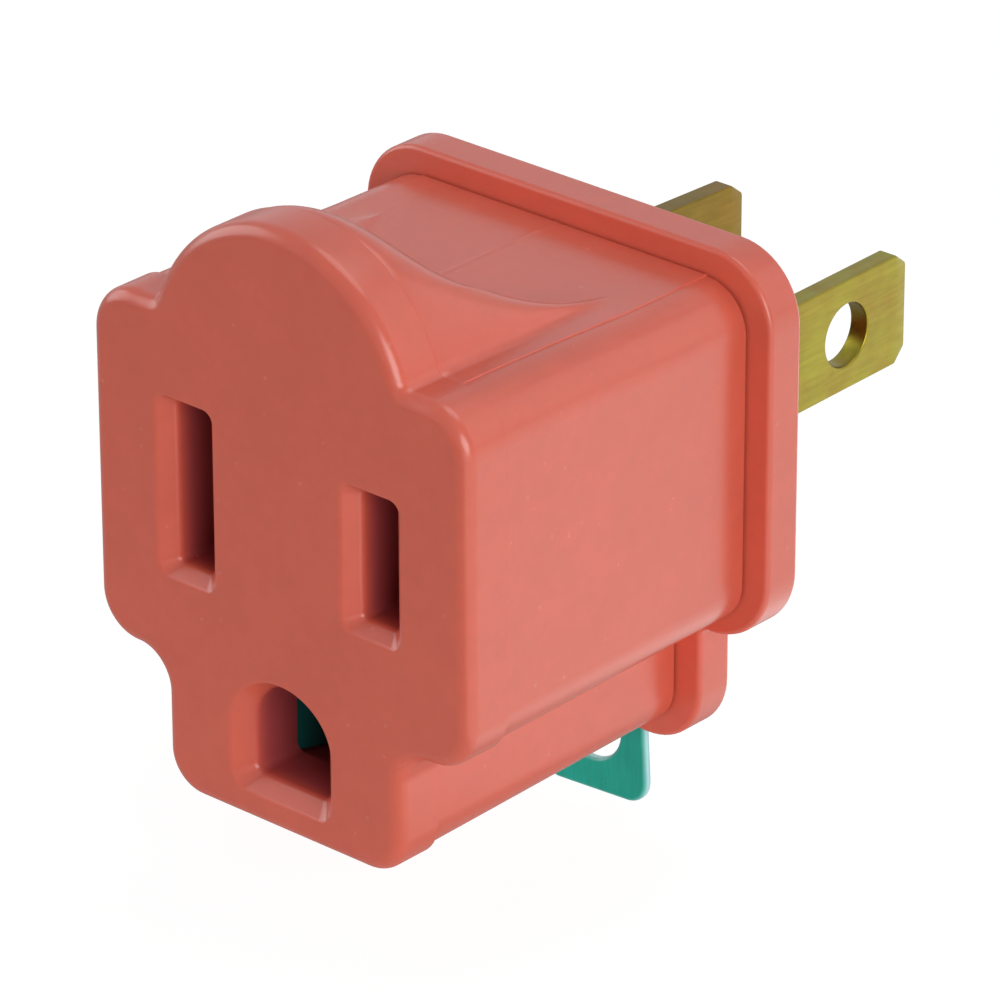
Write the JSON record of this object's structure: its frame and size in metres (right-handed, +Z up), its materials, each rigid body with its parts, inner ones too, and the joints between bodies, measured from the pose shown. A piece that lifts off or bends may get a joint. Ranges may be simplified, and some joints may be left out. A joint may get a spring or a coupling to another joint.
{
  "type": "grounding plug adapter",
  "caption": "Compact adapter with a three-slot socket face in front, two flat blades behind and a metal ground tab with a screw hole below.",
  "frame": {"origin": "middle of the rear cover's flat back face, level with the blades, on the plane of the wall", "axes": "+Y along the blades into the wall, -Y out of the socket face, +Z up towards the dome, +X to the right seen from the front"},
  "size_m": [0.0278, 0.0424, 0.0404],
  "materials": {
    "housing_plastic": "moulded salmon red, half gloss",
    "cover_plastic": "moulded salmon red, half gloss",
    "blade_brass": "rolled, slightly dull",
    "contact_bronze": "rolled",
    "rivet_brass": "turned",
    "ground_metal": "green coated, smooth"
  },
  "bodies": {
    "root": {"front_housing": "housing_plastic", "rear_cover": "cover_plastic", "neutral_blade": "blade_brass", "hot_blade": "blade_brass", "neutral_contact": "contact_bronze", "hot_contact": "contact_bronze", "neutral_rivet": "rivet_brass", "hot_rivet": "rivet_brass", "ground_strap": "ground_metal"}
  },
  "joints": []
}
